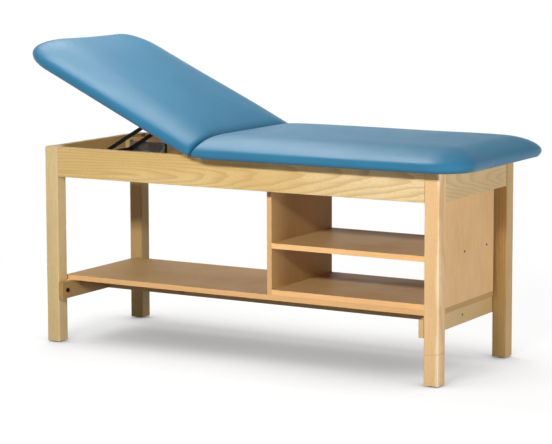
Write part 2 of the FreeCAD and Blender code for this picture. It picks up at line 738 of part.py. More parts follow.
# Pivot brackets under the backrest board, drawn with the backrest lowered
pivot_low = pivot_center(0)
pivot_brackets = []
pivot_pins = []
pivot_screws = []
for side, sy in sides.items():
    arm_in = sy * (arm_spacing - arm_thickness) / 2
    arm_out = sy * (arm_spacing + arm_thickness) / 2
    lug_out = arm_in - sy * lug_gap
    lug_in = lug_out - sy * lug_thickness
    plate_y = (lug_out, lug_out - sy * bracket_width)
    plate_z = (board_under - bracket_plate, board_under)
    plate = block(span(pivot_low.x, bracket_length), plate_y, plate_z)
    lug = bar(Vec(pivot_low.x, lug_in, pivot_low.z), Vec(0, sy, 0), lug_thickness, lug_radius)
    neck = block(span(pivot_low.x, 2 * lug_radius), (lug_in, lug_out), (pivot_low.z, board_under))
    bracket = plate.fuse(lug).fuse(neck).removeSplitter()
    pin_start = Vec(pivot_low.x, lug_in, pivot_low.z)
    pin_length = lug_thickness + lug_gap + arm_thickness + lug_gap
    pin = bar(pin_start, Vec(0, sy, 0), pin_length, pivot_radius)
    head_start = pin_start + Vec(0, sy * pin_length, 0)
    pin = pin.fuse(bar(head_start, Vec(0, sy, 0), pivot_head_height, pivot_head_radius))
    tail = bar(pin_start, Vec(0, -sy, 0), pivot_head_height, pivot_head_radius)
    pivot_pins.append(pin.fuse(tail).removeSplitter())
    bracket = bracket.cut(bar(pin_start, Vec(0, sy, 0), lug_thickness, pivot_radius + pin_gap))
    for x in span(pivot_low.x, bracket_length * 0.7):
        seat = Vec(x, lug_in - sy * bracket_width * 0.4, plate_z[0])
        screw = Screw(seat, Vec(0, 0, 1), bracket_plate + board_thickness * 0.7, small=True)
        pivot_screws.append(screw.solid())
        bracket = bracket.cut(screw.hole())
        back_board = back_board.cut(screw.hole())
    pivot_brackets.append(bracket)

# Support arms and their cross rod, at rest
pivot_rest = pivot_center(rest_angle)
arms = {}
for side, sy in sides.items():
    inner = sy * (arm_spacing - arm_thickness) / 2
    low = Vec(rod_rest.x, inner, rod_rest.z)
    high = Vec(pivot_rest.x, inner, pivot_rest.z)
    thick = Vec(0, sy * arm_thickness, 0)
    lean = (high - low).normalize()
    out = Vec(-lean.z, 0, lean.x) * (arm_width / 2)
    outline = Part.makePolygon([low + out, high + out, high - out, low - out, low + out])
    arm = Part.Face(outline).extrude(thick)
    for center in (low, high):
        arm = arm.fuse(bar(center, Vec(0, sy, 0), arm_thickness, arm_eye_radius))
    arm = arm.removeSplitter()
    arm = arm.cut(bar(low, Vec(0, sy, 0), arm_thickness, rod_radius + pin_gap))
    arms[side] = arm.cut(bar(high, Vec(0, sy, 0), arm_thickness, pivot_radius + pin_gap))
rod_half = arm_spacing / 2 + arm_thickness / 2 + rod_overhang
rod = bar(rod_rest - axis_y * rod_half, axis_y, 2 * rod_half, rod_radius)


def raised(shape):
    # Turns a piece of the lowered backrest up to its rest angle.
    turned = shape.copy()
    turned.rotate(hinge_point, axis_y, rest_angle)
    return turned


for (end, side), leg in legs.items():
    save("leg_" + side + "_" + end, [leg])
    save("corner_block_" + side + "_" + end, [corner_blocks[end, side]])
for side in sides:
    save(side + "_rail", [side_rails[side]])
    save(side + "_rack_bearer", [rack_bearers[side]])
    save(side + "_rack", [racks[side]])
    save("support_arm_" + side, [arms[side]])
for end in ends:
    save(end + "_end_rail", [end_rails[end]])
    save(end + "_cross_rail", [cross_rails[end]])
save("floor_glides", glides)
save("hanger_bolts", hanger_bolts)
save("hanger_nuts", hanger_nuts)
save("centre_stretcher", [stretcher])
save("cross_rail_bolts", cross_bolts)
save("stretcher_screws", stretcher_screws)
save("lower_shelf", [shelf])
save("lower_shelf_screws", shelf_screws)
save("unit_divider", [divider])
save("unit_end_panel", [end_panel])
save("unit_bottom_panel", [bottom_panel])
save("unit_mid_shelf", [mid_shelf])
save("mid_shelf_screws", mid_screws)
save("bottom_panel_screws", bottom_screws)
save("unit_dowels", dowels)
save("end_panel_cleat", [cleat])
save("panel_screws", panel_screws)
save("hinge_rail", [hinge_rail])
save("seat_bearer", [seat_bearer])
save("rack_strap", [strap])
save("rack_screws", rack_screws)
save("seat_board", [seat_board])
save("seat_foam", [seat_foam])
save("seat_cover", [seat_cover])
save("seat_brackets", seat_brackets)
save("seat_bracket_screws", seat_bracket_screws)
save("hinge_fixed_leaves", fixed_leaves)
save("hinge_pins", hinge_pins)
save("hinge_rail_screws", fixed_screws)
save("backrest_board", [raised(back_board)])
save("backrest_foam", [raised(back_foam)])
save("backrest_cover", [raised(back_cover)])
save("hinge_moving_leaves", [raised(leaf) for leaf in moving_leaves])
save("hinge_board_screws", [raised(screw) for screw in moving_screws])
save("pivot_brackets", [raised(bracket) for bracket in pivot_brackets])
save("pivot_pins", [raised(pin) for pin in pivot_pins])
save("pivot_bracket_screws", [raised(screw) for screw in pivot_screws])
save("support_rod", [rod])
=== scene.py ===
import bpy
import bmesh
import json
import numpy as np
from math import cos, pi, radians, sin, tan
from mathutils import Matrix, Vector, noise


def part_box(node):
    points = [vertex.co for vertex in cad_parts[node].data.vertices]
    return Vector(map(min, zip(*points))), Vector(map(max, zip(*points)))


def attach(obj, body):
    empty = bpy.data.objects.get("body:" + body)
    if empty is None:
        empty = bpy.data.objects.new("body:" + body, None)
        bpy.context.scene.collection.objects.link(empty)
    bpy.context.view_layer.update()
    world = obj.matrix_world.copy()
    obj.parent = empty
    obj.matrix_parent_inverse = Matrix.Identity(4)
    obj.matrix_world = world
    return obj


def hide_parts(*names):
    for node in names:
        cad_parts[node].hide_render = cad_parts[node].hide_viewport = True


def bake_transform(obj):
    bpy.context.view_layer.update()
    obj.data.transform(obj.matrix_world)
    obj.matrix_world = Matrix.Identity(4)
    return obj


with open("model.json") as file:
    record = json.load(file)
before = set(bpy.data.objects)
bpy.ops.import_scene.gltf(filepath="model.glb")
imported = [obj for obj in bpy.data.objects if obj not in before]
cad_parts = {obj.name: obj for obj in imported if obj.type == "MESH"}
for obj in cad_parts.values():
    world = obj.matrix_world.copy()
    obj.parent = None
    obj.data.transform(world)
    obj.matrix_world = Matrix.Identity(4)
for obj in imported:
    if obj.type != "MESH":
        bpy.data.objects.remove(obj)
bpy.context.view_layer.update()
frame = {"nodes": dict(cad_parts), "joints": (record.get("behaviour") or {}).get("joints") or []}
nodes = frame["nodes"]
scene = bpy.context.scene
tilt = frame["joints"][0]
hinge = Vector(tilt["pos_m"])
restTurn = radians(-tilt["range_deg"][0])  # backrest above level
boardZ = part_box("seat_board")[0].z
print("frame loaded:", len(nodes), "nodes")


# small helpers for node trees and meshes
def addNode(tree, kind, inputs=None, **settings):
    made = tree.nodes.new("ShaderNode" + kind)
    for key, value in settings.items():
        setattr(made, key, value)
    for key, value in (inputs or {}).items():
        if isinstance(value, bpy.types.NodeSocket):
            tree.links.new(value, made.inputs[key])
        else:
            made.inputs[key].default_value = value
    return made


def calc(tree, operation, a, b=0.0):
    return addNode(tree, "Math", {0: a, 1: b}, operation=operation).outputs[0]


def stretch(tree, vector, scale):
    return addNode(tree, "VectorMath", {0: vector, 1: scale}, operation="MULTIPLY").outputs[0]


def speckle(tree, vector, scale, detail=2.0, rough=0.5):
    inputs = {"Vector": vector, "Scale": scale, "Detail": detail, "Roughness": rough}
    return addNode(tree, "TexNoise", inputs).outputs["Fac"]


def remap(tree, value, low, high, outLow=0.0, outHigh=1.0):
    inputs = {0: value, 1: low, 2: high, 3: outLow, 4: outHigh}
    return addNode(tree, "MapRange", inputs, interpolation_type="SMOOTHSTEP").outputs[0]


def mixColor(tree, factor, a, b):
    return addNode(tree, "Mix", {0: factor, 6: a, 7: b}, data_type="RGBA").outputs[2]


def newGroup(name, inputs, outputs):
    tree = bpy.data.node_groups.new(name, "ShaderNodeTree")
    for label, kind, value in inputs:
        socket = tree.interface.new_socket(label, in_out="INPUT", socket_type=kind)
        if value is not None:
            socket.default_value = value
    for label in outputs:
        tree.interface.new_socket(label, in_out="OUTPUT", socket_type="NodeSocketFloat")
    source = tree.nodes.new("NodeGroupInput").outputs
    sink = tree.nodes.new("NodeGroupOutput").inputs
    return tree, source, sink


def useGroup(tree, group, inputs):
    return addNode(tree, "Group", inputs, node_tree=group).outputs


def newMaterial(name):
    material = bpy.data.materials.new(name)
    material.use_nodes = True
    tree = material.node_tree
    tree.nodes.clear()
    shader = addNode(tree, "BsdfPrincipled")
    output = addNode(tree, "OutputMaterial")
    tree.links.new(shader.outputs[0], output.inputs[0])
    return material, tree, shader


def setBump(tree, shader, height, strength, distance):
    inputs = {"Height": height, "Strength": strength, "Distance": distance}
    tree.links.new(addNode(tree, "Bump", inputs).outputs[0], shader.inputs["Normal"])


def meshObject(name, bm, material):
    mesh = bpy.data.meshes.new(name)
    bm.to_mesh(mesh)
    bm.free()
    for face in mesh.polygons:
        face.use_smooth = True
    obj = bpy.data.objects.new(name, mesh)
    scene.collection.objects.link(obj)
    mesh.materials.append(material)
    return obj


def joinLoops(bm, loops):
    for low, high in zip(loops, loops[1:]):
        for i in range(len(low)):
            j = (i + 1) % len(low)
            bm.faces.new((low[i], low[j], high[j], high[i]))


def dress(name, material):
    mesh = nodes[name].data
    mesh.materials.clear()
    mesh.materials.append(material)


# effects that several materials share
vectorKind, floatKind = "NodeSocketVector", "NodeSocketFloat"

# growth rings, fibres and pores of timber; the grain runs along Z of the vector
timberFigure, given, put = newGroup(
    "timberFigure",
    [("Vector", vectorKind, None), ("Ring Width", floatKind, 0.004), ("Waver", floatKind, 1.5)],
    ["Ring", "Fibre", "Pore", "Band"],
)
g = timberFigure
flat = stretch(g, given["Vector"], (1.0, 1.0, 0.0))
reach = addNode(g, "VectorMath", {0: flat}, operation="LENGTH").outputs["Value"]
slow = speckle(g, stretch(g, given["Vector"], (9.0, 9.0, 1.6)), 1.0, 2.0)
fine = speckle(g, stretch(g, given["Vector"], (70.0, 70.0, 5.0)), 1.0, 2.0)
phase = calc(g, "DIVIDE", reach, given["Ring Width"])
phase = calc(g, "ADD", phase, calc(g, "MULTIPLY", slow, calc(g, "MULTIPLY", given["Waver"], 4.0)))
phase = calc(g, "ADD", phase, calc(g, "MULTIPLY", fine, 0.5))
year = calc(g, "FRACT", phase)
late = remap(g, year, 0.35, 0.92)
ring = calc(g, "MULTIPLY", late, remap(g, year, 0.94, 1.0, 1.0, 0.0))
fibre = speckle(g, stretch(g, given["Vector"], (800.0, 800.0, 16.0)), 1.0, 3.0, 0.6)
dash = speckle(g, stretch(g, given["Vector"], (1500.0, 1500.0, 45.0)), 1.0, 1.0)
pore = calc(g, "MULTIPLY", remap(g, dash, 0.6, 0.7), calc(g, "SUBTRACT", 1.0, late))
for label, value in (("Ring", ring), ("Fibre", fibre), ("Pore", pore), ("Band", slow)):
    g.links.new(value, put[label])

# smudges all over, and dust on what faces up
handling, given, put = newGroup(
    "handling", [("Vector", vectorKind, None), ("Scale", floatKind, 6.0)], ["Smudge", "Dust"]
)
g = handling
cloud = speckle(g, given["Vector"], given["Scale"], 4.0, 0.6)
facing = addNode(g, "SeparateXYZ", {0: addNode(g, "NewGeometry").outputs["Normal"]}).outputs["Z"]
grit = speckle(g, given["Vector"], calc(g, "MULTIPLY", given["Scale"], 60.0), 2.0)
dust = calc(g, "MULTIPLY", remap(g, facing, 0.5, 1.0), remap(g, grit, 0.45, 0.75))
g.links.new(remap(g, cloud, 0.3, 0.7), put["Smudge"])
g.links.new(dust, put["Dust"])

# pebbled skin of coated fabric: its height, and its creases as a mask for painted shade
pebble, given, put = newGroup(
    "pebble", [("Vector", vectorKind, None), ("Cells", floatKind, 700.0)], ["Height", "Shade"]
)
g = pebble
warp = addNode(g, "TexNoise", {"Vector": given["Vector"], "Scale": 260.0, "Detail": 2.0}).outputs["Color"]
bent = addNode(g, "VectorMath", {0: warp, 1: (0.0012, 0.0012, 0.0012), 2: given["Vector"]}, operation="MULTIPLY_ADD")
cells = {"Vector": bent.outputs[0], "Scale": given["Cells"]}
crease = addNode(g, "TexVoronoi", cells, feature="DISTANCE_TO_EDGE").outputs["Distance"]
rise = remap(g, crease, 0.0, 0.22)
micro = speckle(g, given["Vector"], 2600.0, 2.0)
g.links.new(calc(g, "ADD", rise, calc(g, "MULTIPLY", micro, 0.35)), put["Height"])
g.links.new(rise, put["Shade"])
print("shared effects made")


# solid wood
timber = {
    "pale": (0.82, 0.595, 0.29, 1),
    "mid": (0.745, 0.51, 0.222, 1),
    "dark": (0.56, 0.345, 0.135, 1),
    "pore": (0.40, 0.235, 0.085, 1),
    "sap": (0.96, 0.77, 0.49, 1),
    "smudge": (0.33, 0.22, 0.11, 1),
    "roughness": (0.34, 0.46),
    "gloss": 0.3,
    "bump": (0.35, 0.00015),  # strength and depth
    "ringWidth": 0.0042,
    "waver": 1.3,
}
grainOrder = {"X": ("Y", "Z", "X"), "Y": ("Z", "X", "Y"), "Z": ("X", "Y", "Z")}


def makeTimber(name, axis, heart, lean, toneAndPaintedLight=1.0, width=1.0, look=timber, paler=None, sapwood=None, mark=None):
    # heart: where the middle of the tree lies, across the grain; lean tips it, which draws the arched figure
    # paler: stretch of the grain over which the wood turns paler; sapwood: edge line and slope; mark: height
    material, tree, shader = newMaterial(name)
    place = addNode(tree, "TexCoord").outputs["Object"]
    split = addNode(tree, "SeparateXYZ", {0: place}).outputs
    order = grainOrder[axis]
    turned = addNode(tree, "CombineXYZ", {i: split[order[i]] for i in range(3)}).outputs[0]
    moved = addNode(tree, "Mapping", {"Vector": turned, "Location": heart, "Rotation": lean}).outputs[0]
    figure = useGroup(tree, timberFigure, {
        "Vector": moved, "Ring Width": look["ringWidth"] * width, "Waver": look["waver"]})
    marks = useGroup(tree, handling, {"Vector": place, "Scale": 5.0})
    tint = toneAndPaintedLight if isinstance(toneAndPaintedLight, tuple) else (toneAndPaintedLight, toneAndPaintedLight, toneAndPaintedLight)
    shade = [tuple(c * t for c, t in zip(look[key], tint)) + (1,) for key in ("pale", "mid", "dark", "pore")]
    base = mixColor(tree, remap(tree, figure["Band"], 0.3, 0.7), shade[0], shade[1])
    if paler:
        base = mixColor(tree, remap(tree, split[axis], *paler, 0.0, 0.6), base, look["sap"])
    base = mixColor(tree, calc(tree, "MULTIPLY", figure["Ring"], 0.55), base, shade[2])
    base = mixColor(tree, remap(tree, figure["Fibre"], 0.35, 0.75, 0.0, 0.28), base, shade[2])
    base = mixColor(tree, calc(tree, "MULTIPLY", figure["Pore"], 0.55), base, shade[3])
    if sapwood:
        wave = speckle(tree, stretch(tree, place, (1.0, 1.0, 7.0)), 1.0, 2.0)
        edge = calc(tree, "SUBTRACT", split["X"], calc(tree, "MULTIPLY", split["Y"], 0.45))
        edge = calc(tree, "ADD", edge, calc(tree, "MULTIPLY", wave, 0.05))
        base = mixColor(tree, remap(tree, edge, *sapwood, 0.0, 0.75), base, look["sap"])
    if mark:
        line = calc(tree, "SUBTRACT", split["Z"], calc(tree, "MULTIPLY", split["X"], 0.12))
        line = calc(tree, "ABSOLUTE", calc(tree, "SUBTRACT", line, mark))
        base = mixColor(tree, remap(tree, line, 0.0, 0.004, 0.5, 0.0), base, shade[2])
    base = mixColor(tree, calc(tree, "MULTIPLY", marks["Smudge"], 0.07), base, look["smudge"])
    tree.links.new(base, shader.inputs["Base Color"])
    tree.links.new(remap(tree, marks["Smudge"], 0.0, 1.0, *look["roughness"]), shader.inputs["Roughness"])
    shader.inputs["Specular IOR Level"].default_value = look["gloss"]
    height = calc(tree, "SUBTRACT", calc(tree, "MULTIPLY", figure["Fibre"], 0.5), figure["Pore"])
    setBump(tree, shader, height, *look["bump"])
    return material


# axis of the grain, heart of the tree, lean, tone (with painted shade on some pieces), ring width
timberPieces = {
    "leg_front_head": ("Z", (0.86, 0.36, 0.1), (0.01, 0.02, 0), (0.96, 1.04, 1.12), 1.0),
    # leg_back_head: the darker tone is painted shade on this back leg
    "leg_back_head": ("Z", (0.90, -0.18, 0.3), (-0.02, 0.01, 0), (0.66, 0.62, 0.5), 0.9),
    "leg_front_foot": ("Z", (-0.66, 0.31, -0.2), (0.05, 0.03, 0), (1.14, 1.07, 1.14), 1.3),
    # leg_back_foot: the darker tone is painted shade on this back leg
    "leg_back_foot": ("Z", (-0.69, -0.36, 0.2), (0.02, -0.03, 0), (0.84, 0.78, 0.68), 1.0),
    "front_rail": ("X", (0.345, -0.665, -0.42), (0.04, 0.075, 0), (0.95, 0.95, 0.86), 2.6),
    "back_rail": ("X", (-0.20, -0.60, -0.2), (-0.02, 0.02, 0), 0.96, 1.2),
    # head_end_rail: the darker tone is painted shade inside the frame
    "head_end_rail": ("Y", (-0.60, 0.87, 0.3), (0.03, -0.02, 0), (0.78, 0.78, 0.66), 1.1),
    "foot_end_rail": ("Y", (-0.66, -0.80, -0.1), (-0.12, 0.10, 0), (0.95, 1.0, 1.1), 2.2),
    # head_cross_rail: the darker, warmer tone is painted shade, as this rail lies in shade
    "head_cross_rail": ("Y", (-0.24, 0.79, 0.6), (0.04, 0.03, 0), (0.60, 0.50, 0.36), 1.0),
    "foot_cross_rail": ("Y", (-0.14, -0.73, 0.2), (-0.03, 0.05, 0), 0.96, 1.2),
    "centre_stretcher": ("X", (0.06, -0.25, 0.8), (0.02, 0.01, 0), 0.85, 1.0),
    "front_rack_bearer": ("X", (0.05, -0.70, 0.2), (0.02, 0.02, 0), 0.9, 1.0),
    "back_rack_bearer": ("X", (-0.16, -0.60, 0.9), (-0.02, 0.01, 0), 0.9, 1.0),
    "hinge_rail": ("Y", (-0.58, 0.13, 0.4), (0.02, 0.03, 0), 0.9, 1.2),
    "seat_bearer": ("Y", (-0.75, -0.14, 0.5), (0.03, -0.02, 0), 0.9, 1.0),
    "end_panel_cleat": ("Y", (-0.70, -0.68, 0.7), (0.02, 0.02, 0), 0.9, 1.0),
    "corner_block_front_head": ("Y", (-0.62, 0.90, 0.7), (0.3, 0.3, 0), 0.88, 0.9),
    "corner_block_back_head": ("Y", (-0.75, 0.70, 0.2), (0.3, -0.3, 0), 0.88, 0.9),
    "corner_block_front_foot": ("Y", (-0.62, -0.80, 0.4), (-0.3, 0.3, 0), 0.88, 0.9),
    "corner_block_back_foot": ("Y", (-0.76, -0.62, 0.3), (-0.3, -0.3, 0), 0.88, 0.9),
    "unit_dowels": ("Z", (0.3, 0.3, 0.1), (0, 0, 0), 0.95, 0.6),
}
timberMarks = {
    "front_rail": {"paler": (0.05, 0.6)},
    "leg_front_foot": {"sapwood": (0.915, 0.93), "mark": 0.02},
}
for name, (axis, heart, lean, toneAndPaintedLight, width) in timberPieces.items():
    dress(name, makeTimber("timber " + name, axis, heart, lean, toneAndPaintedLight, width, **timberMarks.get(name, {})))

plywood = dict(
    timber, pale=(0.66, 0.49, 0.29, 1), mid=(0.60, 0.43, 0.24, 1), dark=(0.47, 0.31, 0.15, 1),
    roughness=(0.62, 0.78), ringWidth=0.011, waver=2.2)
for name in ("seat_board", "backrest_board"):
    dress(name, makeTimber("plywood " + name, "X", (0.3, -0.74, 0.2), (0.015, 0.004, 0), 1.0, 1.0, plywood))
print("timber dressed:", len(timberPieces))


# shelf boards: printed laminate with plain edge bands
laminate = {
    "ground": (0.60, 0.375, 0.160, 1),
    "streak": (0.49, 0.29, 0.110, 1),
    "fleck": (0.40, 0.225, 0.09, 1),
    "edge": (0.80, 0.465, 0.205, 1),
    "edgeFleck": (0.66, 0.36, 0.14, 1),
    "smudge": (0.30, 0.22, 0.13, 1),
    "dust": (0.62, 0.56, 0.47, 1),
    "roughness": (0.42, 0.54),
    "gloss": 0.1,
    "bump": (0.12, 0.00008),
}


def makeLaminate(name, along, edges, toneAndPaintedLight=1.0, edgeToneAndPaintedLight=1.0):
    # along: stretch of the print; edges: axes that face out of a banded edge
    material, tree, shader = newMaterial(name)
    coords = addNode(tree, "TexCoord").outputs
    streak = speckle(tree, stretch(tree, coords["Object"], along), 1.0, 3.0, 0.6)
    fleckRoom = tuple(v * 3.2 for v in along)
    fleck = remap(tree, speckle(tree, stretch(tree, coords["Object"], fleckRoom), 1.0, 1.0), 0.62, 0.74)
    marks = useGroup(tree, handling, {"Vector": coords["Object"], "Scale": 4.0})
    tint = toneAndPaintedLight if isinstance(toneAndPaintedLight, tuple) else (toneAndPaintedLight, toneAndPaintedLight, toneAndPaintedLight)
    colors = {key: tuple(c * t for c, t in zip(laminate[key], tint)) + (1,) for key in ("ground", "streak", "fleck")}
    face = mixColor(tree, remap(tree, streak, 0.35, 0.7, 0.0, 0.55), colors["ground"], colors["streak"])
    face = mixColor(tree, calc(tree, "MULTIPLY", fleck, 0.4), face, colors["fleck"])
    bands = [tuple(min(1.0, c * edgeToneAndPaintedLight) for c in laminate[key][:3]) + (1,) for key in ("edge", "edgeFleck")]
    band = mixColor(tree, remap(tree, streak, 0.4, 0.7, 0.0, 0.45), *bands)
    facing = addNode(tree, "SeparateXYZ", {0: coords["Normal"]}).outputs
    mask = 0.0
    for axis in edges:
        mask = calc(tree, "MAXIMUM", remap(tree, calc(tree, "ABSOLUTE", facing[axis]), 0.6, 0.75), mask)
    base = mixColor(tree, mask, face, band)
    base = mixColor(tree, calc(tree, "MULTIPLY", marks["Smudge"], 0.08), base, laminate["smudge"])
    base = mixColor(tree, calc(tree, "MULTIPLY", marks["Dust"], 0.04), base, laminate["dust"])
    tree.links.new(base, shader.inputs["Base Color"])
    tree.links.new(remap(tree, marks["Smudge"], 0.0, 1.0, *laminate["roughness"]), shader.inputs["Roughness"])
    shader.inputs["Specular IOR Level"].default_value = laminate["gloss"]
    setBump(tree, shader, streak, *laminate["bump"])
    return material


flatPrint, standPrint = (9.0, 420.0, 420.0), (420.0, 420.0, 9.0)
for name, along, edges, toneAndPaintedLight, edgeToneAndPaintedLight in (
    ("lower_shelf", flatPrint, ("Y",), 1.0, 1.08),
    # unit_bottom_panel and unit_mid_shelf: the raised edge tone is painted light on edges that lie in part shade
    ("unit_bottom_panel", flatPrint, ("Y",), 0.95, 1.25),
    ("unit_mid_shelf", flatPrint, ("Y",), 1.0, 1.3),
    ("unit_divider", standPrint, ("Y", "Z"), 1.1, 0.98),
    # unit_end_panel: the raised tone is painted light on this panel, which lies in shade under the seat
    ("unit_end_panel", standPrint, ("Y", "Z"), (1.52, 1.58, 1.85), 1.0),
):
    dress(name, makeLaminate("laminate " + name, along, edges, toneAndPaintedLight, edgeToneAndPaintedLight))
print("shelf boards dressed")


# metal and small plastic
metalDust = (0.45, 0.41, 0.35, 1)


def makeMetal(name, color, metallic, roughness, bump, grain, gloss=0.5):
    material, tree, shader = newMaterial(name)
    place = addNode(tree, "TexCoord").outputs["Object"]
    marks = useGroup(tree, handling, {"Vector": place, "Scale": 14.0})
    skin = speckle(tree, place, grain, 2.0)
    worn = tuple(min(1.0, c * 1.4 + 0.004) for c in color[:3]) + (1,)
    base = mixColor(tree, calc(tree, "MULTIPLY", marks["Smudge"], 0.35), color, worn)
    base = mixColor(tree, calc(tree, "MULTIPLY", marks["Dust"], 0.06), base, metalDust)
    tree.links.new(base, shader.inputs["Base Color"])
    shader.inputs["Metallic"].default_value = metallic
    shader.inputs["Specular IOR Level"].default_value = gloss
    tree.links.new(remap(tree, marks["Smudge"], 0.0, 1.0, *roughness), shader.inputs["Roughness"])
    setBump(tree, shader, skin, bump, 0.0001)
    return material


blackSteel = makeMetal("black powder coat", (0.006, 0.006, 0.007, 1), 0.0, (0.45, 0.58), 0.5, 1400.0, 0.12)
zincPlate = makeMetal("zinc plate", (0.33, 0.34, 0.35, 1), 1.0, (0.22, 0.40), 0.12, 500.0)
screwSteel = makeMetal("screw steel", (0.12, 0.115, 0.105, 1), 1.0, (0.30, 0.45), 0.1, 900.0)
glideNylon = makeMetal("glide nylon", (0.05, 0.035, 0.025, 1), 0.0, (0.5, 0.65), 0.3, 1200.0)
metalOf = {
    blackSteel: ("cross_rail_bolts", "rack_strap", "pivot_brackets", "support_arm_front", "support_arm_back",
                 "support_rod"),
    zincPlate: ("front_rack", "back_rack", "hanger_bolts", "hanger_nuts", "seat_brackets", "hinge_fixed_leaves",
                "hinge_moving_leaves", "hinge_pins", "pivot_pins"),
    screwSteel: ("stretcher_screws", "lower_shelf_screws", "mid_shelf_screws", "bottom_panel_screws",
                 "panel_screws", "rack_screws", "seat_bracket_screws", "hinge_rail_screws", "hinge_board_screws",
                 "pivot_bracket_screws"),
    glideNylon: ("floor_glides",),
}
for material, names in metalOf.items():
    for name in names:
        dress(name, material)
print("metal dressed")


# blue vinyl
vinylLook = {
    "color": (0.032, 0.177, 0.302, 1),
    "light": (0.040, 0.20, 0.336, 1),
    # painted shade in the creases of the pebble grain
    "crease": (0.025, 0.134, 0.23, 1),
    "roughness": (0.38, 0.45),
    "gloss": 0.28,
    "cells": 620.0,  # pebbles to the metre
    "bump": (0.22, 0.00018),  # strength and depth
}


def makeVinyl(name):
    material, tree, shader = newMaterial(name)
    place = addNode(tree, "TexCoord").outputs["Object"]
    skin = useGroup(tree, pebble, {"Vector": place, "Cells": vinylLook["cells"]})
    marks = useGroup(tree, handling, {"Vector": place, "Scale": 3.5})
    base = mixColor(tree, marks["Smudge"], vinylLook["color"], vinylLook["light"])
    # darker in the creases between the pebbles: painted shade
    base = mixColor(tree, remap(tree, skin["Shade"], 0.0, 1.0, 0.35, 0.0), base, vinylLook["crease"])
    tree.links.new(base, shader.inputs["Base Color"])
    tree.links.new(remap(tree, marks["Smudge"], 0.0, 1.0, *vinylLook["roughness"]), shader.inputs["Roughness"])
    shader.inputs["Specular IOR Level"].default_value = vinylLook["gloss"]
    setBump(tree, shader, skin["Height"], *vinylLook["bump"])
    return material


vinyl = makeVinyl("blue vinyl")

# pads, drawn flat: u from the hinge line out, v across, h up from the underside of the board
pad = {
    "width": 0.762,
    "height": 0.076,  # where the side rolls end
    "belly": 0.019,  # height of the widest line
    "sideRoll": 0.160,  # how far in the rounded shoulder reaches
    "endRoll": {"seatPad": 0.094, "backPad": 0.055},
    "power": 1.27,  # 1 is a round shoulder, 2 a straight slope
    "draw": 0.009,  # drawn in at the lower edge
    "bow": (0.0015, 0.005),  # sides and end drawn in at their middles
    "corner": 0.128,
    "hingeCorner": 0.014,
    "hingeRoll": (0.030, 0.015),  # length and depth
    "touch": 0.0004,  # half the gap between the pads
    "slack": (-0.0025, 0.004),  # how much narrower and lower it starts
    "crown": {"seatPad": 0.005, "backPad": 0.007},  # further rise to the middle
    "rim": (0.0012, 0.018, 0.026),  # turned under the board: drop, and where it ends
    "rimRise": 0.006,  # inside the rim
    "underside": (0.008, 0.0005),  # below this height, and this far in from the edge
    "hingeZone": 0.05,  # no rim this near the hinge line
    "voxel": 0.008,
    "smooth": (10, 6),  # steps before and after the fill
    "held": (0.011, 0.003),  # pinned up to this height, and this far from the hinge end
    "cap": 0.005,  # most that the fill may lift the skin
    "evenPasses": 140,
    "cloth": {"quality": 4, "mass": 0.25, "tension": 18, "shear": 8, "bend": 1.2, "pressure": 4.0, "frames": 20},
}
axisDrop = 0.0055  # board underside above the hinge axis, backrest lowered


def padEnd(h):
    return pad["touch"] + (h + axisDrop) * tan(restTurn / 2)


def padRing(length, h, sideInset, endInset, start):
    # outline of the pad at one height, counterclockwise from the hinge end's front corner
    end, wide = length - endInset, pad["width"] / 2 - sideInset
    big = max(pad["corner"] - min(sideInset, endInset), pad["hingeCorner"])
    small = pad["hingeCorner"]
    sideBow, endBow = pad["bow"]
    points = []

    def corner(cu, cv, radius, first, steps):
        for i in range(steps + 1):
            a = radians(first + 90 * i / steps)
            points.append((cu + radius * cos(a), cv + radius * sin(a)))

    def side(a, b, steps, bowU, bowV):
        for i in range(1, steps):
            t = i / steps
            lift = 4 * t * (1 - t)
            points.append((a[0] + (b[0] - a[0]) * t + bowU * lift, a[1] + (b[1] - a[1]) * t + bowV * lift))

    corner(start + small, -wide + small, small, 180, 4)
    side(points[-1], (end - big, -wide), 30, 0, sideBow)
    corner(end - big, -wide + big, big, 270, 16)
    side(points[-1], (end, wide - big), 20, -endBow, 0)
    corner(end - big, wide - big, big, 0, 16)
    side(points[-1], (start + small, wide), 30, 0, -sideBow)
    corner(start + small, wide - small, small, 90, 4)
    side(points[-1], (start, -wide + small), 24, 0, 0)
    return [(u, v, h) for u, v in points]


def padMesh(name, length):
    bm = bmesh.new()
    rings = []
    narrow, low = pad["slack"]
    endRoll, crown = pad["endRoll"][name], pad["crown"][name]
    crest = pad["height"] - low
    for part in (0.0, 0.3, 0.65):  # under the widest line
        h = part * (pad["belly"] + pad["rim"][0]) - pad["rim"][0]
        inset = narrow + pad["draw"] * (1 - h / pad["belly"]) ** 2
        rings.append(padRing(length, h, inset, inset, padEnd(h)))
    wide, deep = pad["hingeRoll"]
    for i in range(16):  # over the shoulder
        a = radians(6 * i)
        roll = 1 - abs(cos(a)) ** pad["power"]
        h = pad["belly"] + (crest - pad["belly"]) * sin(a) ** pad["power"]
        t = max(0.0, (h - crest + deep) / deep)
        sideInset, endInset = (narrow + (reach - narrow) * roll for reach in (pad["sideRoll"], endRoll))
        start = padEnd(h) + wide * (1 - max(0.0, 1 - t * t) ** 0.5)
        rings.append(padRing(length, h, sideInset, endInset, start))
    top = rings[-1]
    middle = (min(p[0] for p in top) + max(p[0] for p in top)) / 2
    for s in (0.85, 0.7, 0.55, 0.4, 0.25, 0.1):
        rings.append([(middle + (u - middle) * s, v * s, h + crown * (1 - s * s)) for u, v, h in top])
    loops = [[bm.verts.new(p) for p in ring] for ring in rings]
    joinLoops(bm, loops)
    bm.faces.new(list(reversed(loops[0])))
    bm.faces.new(loops[-1])
    bmesh.ops.recalc_face_normals(bm, faces=bm.faces)
    return bm


